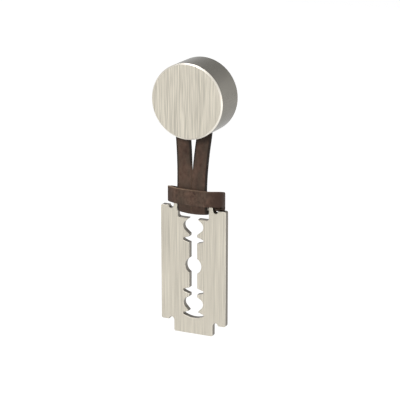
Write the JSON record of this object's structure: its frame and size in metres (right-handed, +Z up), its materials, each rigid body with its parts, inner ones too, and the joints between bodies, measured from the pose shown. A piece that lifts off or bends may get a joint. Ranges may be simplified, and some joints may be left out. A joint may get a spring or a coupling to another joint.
{
  "type": "drop pull",
  "caption": "Drawer pull: a round satin metal knob with a leather strap looped through a hanging plate shaped like a double-edged razor blade.",
  "frame": {"origin": "mouth of the fixing thread, in the middle of the back face that lies against the drawer", "axes": "+Y out of the back into the drawer, the front faces -Y, +Z up, the pull hangs down along -Z"},
  "size_m": [0.0381, 0.0191, 0.1416],
  "materials": {
    "satin_nickel": "satin nickel plate on die-cast zinc, brushed upright",
    "zinc_plated_steel": "zinc plated steel",
    "insert_brass": "turned brass",
    "brown_leather": "dark brown full-grain leather with cut edges"
  },
  "bodies": {
    "knob": {"knob_cap": "satin_nickel", "back_plate": "zinc_plated_steel", "threaded_insert": "insert_brass", "plate_screws": "zinc_plated_steel", "strap_clamp": "zinc_plated_steel", "clamp_screws": "zinc_plated_steel", "strap_end_right": "brown_leather", "strap_end_left": "brown_leather"},
    "strap": {"strap_tail_right": "brown_leather", "strap_tail_left": "brown_leather"},
    "hitch": {"hitch_wrap_right": "brown_leather", "hitch_wrap_left": "brown_leather", "hitch_band": "brown_leather"},
    "blade": {"blade_plate": "satin_nickel"}
  },
  "joints": [
    {"name": "strap_flex", "type": "hinge", "parent": "knob", "child": "strap", "pos_m": [0, -0.01035, -0.0204], "axis": [-1, 0, 0], "range_deg": [-4.5, 85]},
    {"name": "strap_twist", "type": "hinge", "parent": "strap", "child": "hitch", "pos_m": [0, -0.0101, -0.037], "axis": [0, 0, 1], "range_deg": [-25, 25], "stiffness_Nm_per_rad": 0.01},
    {"name": "blade_tilt", "type": "hinge", "parent": "hitch", "child": "blade", "pos_m": [0, -0.0101, -0.0553], "axis": [-1, 0, 0], "range_deg": [-45, 45]}
  ]
}
